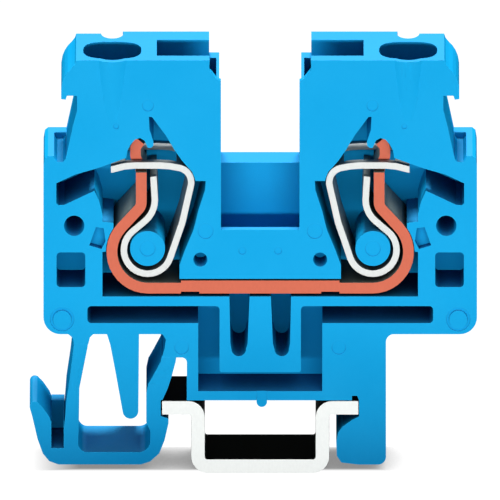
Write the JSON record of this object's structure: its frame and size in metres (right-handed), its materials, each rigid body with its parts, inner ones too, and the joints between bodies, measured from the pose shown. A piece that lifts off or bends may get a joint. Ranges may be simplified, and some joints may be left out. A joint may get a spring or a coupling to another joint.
{
  "type": "din rail terminal block",
  "caption": "Narrow feed-through terminal block with an open side, two cage-clamp springs and a current bar, snapped on a short piece of mounting rail.",
  "frame": {"origin": "middle of the rail's flat underside, half way through the block's 5 mm thickness", "axes": "+X across the block, from the latch towards the rigid foot; +Y along the rail, into the block from its open front; +Z away from the panel"},
  "size_m": [0.0342, 0.0065, 0.0315],
  "materials": {
    "blue_polyamide": "satin moulded polyamide",
    "foot_polyamide": "satin moulded polyamide",
    "tinned_copper": "bare copper cut edges, tinned faces",
    "spring_steel": "bright cut edges, satin faces",
    "rail_zinc": "bright cut edge, zinc-plated faces"
  },
  "bodies": {
    "rail": {"carrier_rail": "rail_zinc"},
    "block": {"housing": "blue_polyamide", "current_bar": "tinned_copper", "left_spring_anchor": "spring_steel", "right_spring_anchor": "spring_steel"},
    "latch": {"latch_foot": "foot_polyamide", "latch_outer_arm": "foot_polyamide", "latch_inner_arm": "foot_polyamide"},
    "left_clamp": {"left_spring_cage": "spring_steel"},
    "right_clamp": {"right_spring_cage": "spring_steel"}
  },
  "joints": [
    {"name": "block_slide", "type": "slide", "parent": "rail", "child": "block", "axis": [0, 1, 0], "range_m": [-0.0025, 0.0025]},
    {"name": "latch_release", "type": "slide", "parent": "block", "child": "latch", "axis": [-1, 0, 0], "range_m": [0, 0.00055], "stiffness_N_per_m": 20000},
    {"name": "left_clamp_open", "type": "hinge", "parent": "block", "child": "left_clamp", "pos_m": [-0.00859, 0, 0.0169], "axis": [0, -1, 0], "range_deg": [0, 18], "stiffness_Nm_per_rad": 0.4},
    {"name": "right_clamp_open", "type": "hinge", "parent": "block", "child": "right_clamp", "pos_m": [0.00859, 0, 0.0169], "axis": [0, 1, 0], "range_deg": [0, 18], "stiffness_Nm_per_rad": 0.4}
  ]
}
